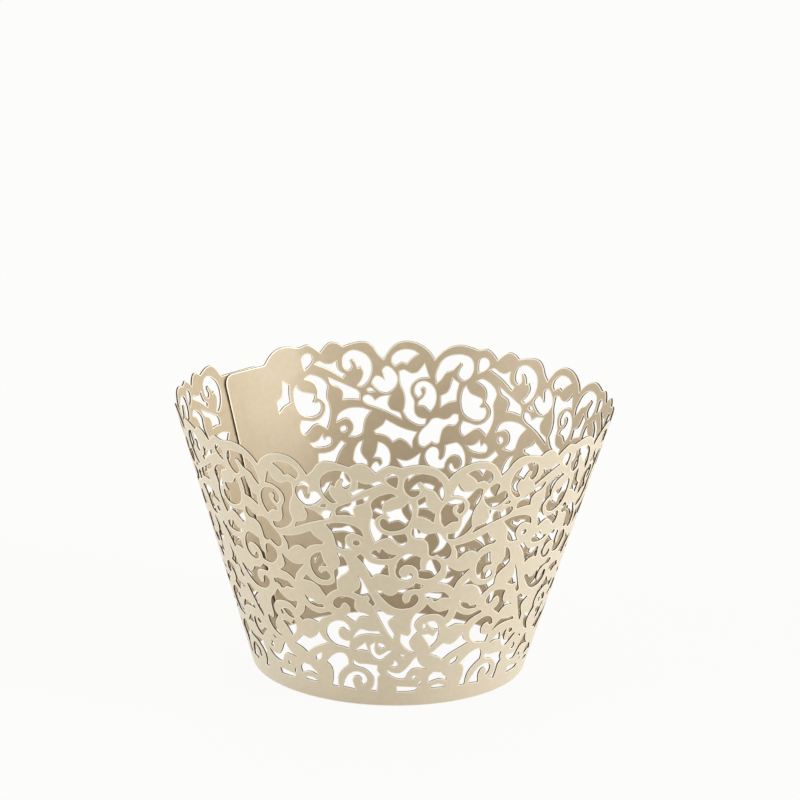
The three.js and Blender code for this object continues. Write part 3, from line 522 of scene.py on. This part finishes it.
def inset(outline):
    """The outline moved into the card, which lies on its left, by the width of the softened rim."""
    moved_in = []
    for before, point, after in zip([outline[-1], *outline], outline, [*outline[1:], outline[0]]):
        first = (point - before).normalized().orthogonal()
        second = (after - point).normalized().orthogonal()
        reach = (first + second) / max(1 + first.dot(second), SHARPEST_REACH)
        moved_in.append(point + reach * RIM_WIDTH)
    return moved_in


def card_on_left(outline, is_hole):
    """The outline in the direction that has the card on its left."""
    pairs = zip(outline, [*outline[1:], outline[0]])
    anticlockwise = sum(p.cross(q) for p, q in pairs) > 0
    return outline[::-1] if anticlockwise == is_hole else outline


def cut_outlines():
    """Every outline of the sheet, its own edge first, each with the card on its left."""
    holes = [outline_of(drawn) for drawn in WINDOWS.values()]
    holes += [arc(x, y, r, 0, 360, PINHOLE_SIDES)[:-1] for x, y, r in PINHOLES]
    outlines = [card_on_left(sheet_outline(), False)]
    return outlines + [card_on_left(copy, True) for hole in holes for copy in all_round(hole)]


def flat_card(outlines, loops):
    """The flat sheet within its softened rims: points, triangles, and where outline points went."""
    points = [p for outline in outlines for p in inset(outline)] + inner_points(outlines)
    flat, pairs, faces, origins, cut_origins, _ = delaunay_2d_cdt(
        points, loops, [], 0, JOIN_WITHIN
    )
    place = {first: i for i, found in enumerate(origins) for first in found}
    cuts = {frozenset(pair) for pair, found in zip(pairs, cut_origins) if found}
    faces = card_faces(faces, cuts, {place[0], place[1]})
    used = sorted({i for face in faces for i in face})
    renumber = {i: k for k, i in enumerate(used)}
    flat = [flat[i] for i in used]
    triangles = [[renumber[i] for i in face] for face in faces]
    triangles = [t if is_anticlockwise(flat, t) else t[::-1] for t in triangles]
    return flat, triangles, {first: renumber.get(i) for first, i in place.items()}


def build_wrapper():
    """The curled card: outer face, inner face, their softened rims and the cut edges between."""
    outlines = cut_outlines()
    edge = [p for outline in outlines for p in outline]
    loops = []
    for outline in outlines:
        count = len(loops)
        loops += [(count + i, count + (i + 1) % len(outline)) for i in range(len(outline))]
    flat, triangles, place = flat_card(outlines, loops)

    count = len(flat)
    depth = 1 - 2 * RIM_DEPTH / wall
    vertices = [on_cup(p, side) for side in (1, -1) for p in flat]
    vertices += [on_cup(p, side) for side in (depth, -depth) for p in edge]
    outer = [tuple(t) for t in triangles]
    inner = [tuple(count + i for i in reversed(t)) for t in triangles]
    rims = []
    walls = []
    creases = set()
    for a, b in loops:
        i, j = place.get(a), place.get(b)
        if i is None or j is None or i == j:
            continue
        outer_a, outer_b = 2 * count + a, 2 * count + b
        inner_a, inner_b = outer_a + len(edge), outer_b + len(edge)
        rims += [(j, i, outer_a, outer_b), (inner_b, inner_a, count + i, count + j)]
        walls.append((outer_b, outer_a, inner_a, inner_b))
        creases.update({frozenset((i, j)), frozenset((count + i, count + j))})
        creases.update({frozenset((outer_a, outer_b)), frozenset((inner_a, inner_b))})

    mesh = bpy.data.meshes.new("wrapper_card")
    mesh.from_pydata(vertices, [], outer + inner + walls + rims)
    slots = [0] * len(outer) + [1] * len(inner) + [2] * len(walls) + [3] * len(rims)
    mesh.polygons.foreach_set("material_index", slots)
    sheet = [*flat, *flat, *edge, *edge]
    uv = mesh.uv_layers.new(name="sheet")
    for loop in mesh.loops:
        p = sheet[loop.vertex_index]
        uv.data[loop.index].uv = (p.x / SHEET_UNIT, p.y / SHEET_UNIT)
    mesh.shade_smooth()
    sharp = mesh.attributes.new("sharp_edge", "BOOLEAN", "EDGE")
    sharp.data.foreach_set("value", [frozenset(e.vertices) in creases for e in mesh.edges])
    card = bpy.data.objects.new("wrapper_card", mesh)
    bpy.context.scene.collection.objects.link(card)
    return card


def linear(red, green, blue):
    """A colour from its 0 to 255 display values."""
    shares = [v / 255 for v in (red, green, blue)]
    return tuple(s / 12.92 if s <= 0.04045 else ((s + 0.055) / 1.055) ** 2.4 for s in shares)


class Socket:
    """A node's output that can be used in sums, with colours and vectors as well as numbers."""

    def __init__(self, graph, output):
        self.graph = graph
        self.output = output

    def _math(self, operation, first, second):
        vector = any(
            isinstance(v, tuple) or (isinstance(v, Socket) and v.output.type != "VALUE")
            for v in (first, second)
        )
        kind = "ShaderNodeVectorMath" if vector else "ShaderNodeMath"
        if vector:
            first, second = [
                (v, v, v) if isinstance(v, (int, float)) else v for v in (first, second)
            ]
        return self.graph.node(kind, {0: first, 1: second}, operation=operation)

    def __add__(self, other):
        return self._math("ADD", self, other)

    def __radd__(self, other):
        return self._math("ADD", other, self)

    def __sub__(self, other):
        return self._math("SUBTRACT", self, other)

    def __rsub__(self, other):
        return self._math("SUBTRACT", other, self)

    def __mul__(self, other):
        return self._math("MULTIPLY", self, other)

    def __rmul__(self, other):
        return self._math("MULTIPLY", other, self)


class Graph:
    """The node tree of a material or of the world. Its node method makes every node."""

    def __init__(self, owner):
        owner.use_nodes = True
        self.owner = owner
        self.tree = owner.node_tree
        self.tree.nodes.clear()

    def node(self, kind, inputs=None, output=0, **settings):
        made = self.tree.nodes.new(kind)
        for key, value in settings.items():
            setattr(made, key, value)
        for key, value in (inputs or {}).items():
            if isinstance(value, Socket):
                self.tree.links.new(value.output, made.inputs[key])
            else:
                made.inputs[key].default_value = value
        return Socket(self, made.outputs[output]) if made.outputs else None

    def mix(self, share, first, second):
        """A colour between two others."""
        first, second = [(*v, 1) if isinstance(v, tuple) else v for v in (first, second)]
        inputs = {0: share, 6: first, 7: second}
        return self.node("ShaderNodeMix", inputs, output=2, data_type="RGBA")

    def noise(self, place, scale, detail=2.0, stretch=(1, 1, 1)):
        """Noise of a given size over the sheet, between 0 and 1."""
        stretched = self.node("ShaderNodeMapping", {"Vector": place, "Scale": stretch})
        inputs = {"Vector": stretched, "Scale": scale, "Detail": detail}
        return self.node("ShaderNodeTexNoise", inputs)

    def shown(self, shader, kind="ShaderNodeOutputMaterial"):
        """The material or world, with this shader as what it shows."""
        self.node(kind, {"Surface": shader})
        return self.owner


# Noise over the card, in spots to the metre, and its stretch along the sheet
CLOUD_SCALE = 90
FIBRE_SCALE = 900
FIBRE_STRETCH = (0.35, 1, 1)
GRAIN_SCALE = 2400
LAYER_SCALE = 2600
LAYER_STRETCH = (1, 1, 2.5)

# The card's surface
CLOUD_SHARE = 0.6
TINT_CONTRAST = 1.6
ROUGHNESS_SPAN = 0.16
COAT_ROUGHNESS = 0.32
BUMP_STRENGTH = 0.5
BUMP_HEIGHT = 0.03
FIBRE_HEIGHT_SHARE = 0.7
EDGE_ROUGHNESS = 0.8
EDGE_SPECULAR = 0.2


def card_material(name, colour, shade, roughness, metallic, coat):
    """Pearl card: soft cloudy colour, short fibres along the sheet and a satin pearl coat."""
    graph = Graph(bpy.data.materials.new(name))
    place = graph.node("ShaderNodeTexCoord", output="UV")
    clouds = graph.noise(place, CLOUD_SCALE, 3)
    fibres = graph.noise(place, FIBRE_SCALE, 3, FIBRE_STRETCH)
    grain = graph.noise(place, GRAIN_SCALE, 2)
    cover = clouds * CLOUD_SHARE + fibres * (1 - CLOUD_SHARE)
    share = cover * TINT_CONTRAST - (TINT_CONTRAST - 1) / 2
    bump = graph.node(
        "ShaderNodeBump",
        {
            "Height": fibres * FIBRE_HEIGHT_SHARE + grain * (1 - FIBRE_HEIGHT_SHARE),
            "Strength": BUMP_STRENGTH,
            "Distance": BUMP_HEIGHT * MM,
        },
    )
    shader = graph.node(
        "ShaderNodeBsdfPrincipled",
        {
            "Base Color": graph.mix(share, linear(*shade), linear(*colour)),
            "Roughness": fibres * ROUGHNESS_SPAN + (roughness - ROUGHNESS_SPAN / 2),
            "Metallic": metallic,
            "Coat Weight": coat,
            "Coat Roughness": COAT_ROUGHNESS,
            "Normal": bump,
        },
    )
    return graph.shown(shader)


def cut_wall_and_painted_shade_material(name, colour, shade):
    """The raw cut edge of the card: matt, with fine layers, its brown painted darker as painted
    shade.
    """
    graph = Graph(bpy.data.materials.new(name))
    place = graph.node("ShaderNodeTexCoord", output="Object")
    layers = graph.noise(place, LAYER_SCALE, 2, LAYER_STRETCH)
    shader = graph.node(
        "ShaderNodeBsdfPrincipled",
        {
            "Base Color": graph.mix(layers, linear(*shade), linear(*colour)),
            "Roughness": EDGE_ROUGHNESS,
            "Specular IOR Level": EDGE_SPECULAR,
        },
    )
    return graph.shown(shader)


card = build_wrapper()
for material in (
    card_material("pearl_face", (229, 217, 193), (213, 202, 178), 0.4, 0.12, 0.3),
    # The inside face is the same pearl card as the outer face, painted darker and warmer as painted
    # shade for the inside of the cup.
    card_material("pearl_inside_painted_shade", (202, 186, 157), (188, 171, 142), 0.5, 0.08, 0.12),
    # The cut edge is brown where the card was cut, painted darker still as painted shade for the
    # shadows along the windows' edges.
    cut_wall_and_painted_shade_material("cut_edge_with_painted_shade", (80, 62, 38), (58, 44, 26)),
    # The softened rim is painted paler than the face: a painted highlight along every cut.
    card_material("softened_rim_painted_highlight", (248, 240, 222), (240, 230, 208), 0.4, 0.05, 0.3),
):
    card.data.materials.append(material)
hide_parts("wrapper")
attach(card, "root")


# The floor, the world and the lamps. A lamp has a place and a size in metres and a level.
FLOOR_HALF = 4
FLOOR_PAPER = (208, 202, 190)
FLOOR_WHITE = (255, 255, 254)
FLOOR_GLOW = 0.92
WORLD_LEVEL = 0.48
LAMPS = {
    "key": ((1.4, -0.35, 0.6), 0.7, 0.74),
    "fill": ((-1.2, -0.35, 0.5), 0.9, 0.52),
    "top": ((0.1, 0.3, 1.4), 0.9, 0.25),
    "far_side": ((0.1, 1.3, 0.5), 0.9, 0.22),
}


def make_floor():
    """A plain white floor that keeps the soft shadow."""
    corners = [(x * FLOOR_HALF, y * FLOOR_HALF, 0) for x, y in ((-1, -1), (1, -1), (1, 1), (-1, 1))]
    mesh = bpy.data.meshes.new("floor")
    mesh.from_pydata(corners, [], [(0, 1, 2, 3)])
    graph = Graph(bpy.data.materials.new("floor_paper"))
    paper = graph.node("ShaderNodeBsdfDiffuse", {"Color": (*linear(*FLOOR_PAPER), 1)})
    glow = graph.node("ShaderNodeEmission", {"Color": (*linear(*FLOOR_WHITE), 1), "Strength": 1})
    seen = graph.node("ShaderNodeLightPath", output="Is Camera Ray")
    seen = seen + graph.node("ShaderNodeLightPath", output="Is Glossy Ray")
    inputs = {0: seen * FLOOR_GLOW, 1: paper, 2: glow}
    mesh.materials.append(graph.shown(graph.node("ShaderNodeMixShader", inputs)))
    floor = bpy.data.objects.new("floor", mesh)
    bpy.context.scene.collection.objects.link(floor)


def add_lamp(name, place, size, level):
    """A square soft lamp aimed at the wrapper. A level of 1 alone would show colours as written."""
    lamp = bpy.data.lights.new(name, "AREA")
    lamp.shape = "SQUARE"
    lamp.size = size
    towards = Vector((0, 0, HEIGHT / 2 * MM)) - Vector(place)
    lamp.energy = level * math.pi ** 2 * towards.length ** 2
    made = bpy.data.objects.new(name, lamp)
    made.location = place
    made.rotation_euler = towards.to_track_quat("-Z", "Y").to_euler()
    bpy.context.scene.collection.objects.link(made)


def make_world(level):
    """Even white light all round, seen by the camera as white."""
    graph = Graph(bpy.data.worlds.new("studio"))
    seen = graph.node("ShaderNodeLightPath", output="Is Camera Ray")
    inputs = {"Color": (1, 1, 1, 1), "Strength": seen * (1 - level) + level}
    background = graph.node("ShaderNodeBackground", inputs)
    bpy.context.scene.world = graph.shown(background, "ShaderNodeOutputWorld")


make_floor()
make_world(WORLD_LEVEL)
for name, (place, size, level) in LAMPS.items():
    add_lamp(name, place, size, level)

# The camera stands where the photograph was taken from. The wrapper's centre falls at this
# place in a frame of 800 by 800 pixels.
FRAME_PIXELS = 800
FOCAL_PIXELS = 3686
CENTRE_PIXEL = (391.4, 529.2)
CAMERA_DISTANCE = 0.6794
CAMERA_ELEVATION = 18.4
CAMERA_ROLL = 0.0223
SENSOR = 36

camera_data = bpy.data.cameras.new("camera")
camera_data.sensor_width = SENSOR
camera_data.lens = FOCAL_PIXELS / FRAME_PIXELS * SENSOR
camera_data.clip_start = 0.01
camera = bpy.data.objects.new("camera", camera_data)
elevation = math.radians(CAMERA_ELEVATION)
centre = Vector((0, 0, HEIGHT / 2 * MM))
away = Vector((0, -math.cos(elevation), math.sin(elevation)))
pan = math.atan((CENTRE_PIXEL[0] - FRAME_PIXELS / 2) / FOCAL_PIXELS)
tilt = math.atan((CENTRE_PIXEL[1] - FRAME_PIXELS / 2) / FOCAL_PIXELS)
aim = Matrix.Rotation(math.radians(90) - elevation, 4, "X") @ Matrix.Rotation(CAMERA_ROLL, 4, "Z")
aim = aim @ Matrix.Rotation(pan, 4, "Y") @ Matrix.Rotation(tilt, 4, "X")
camera.matrix_world = Matrix.Translation(centre + away * CAMERA_DISTANCE) @ aim
bpy.context.scene.collection.objects.link(camera)
bpy.context.scene.camera = camera
bpy.context.scene.view_settings.view_transform = "Standard"
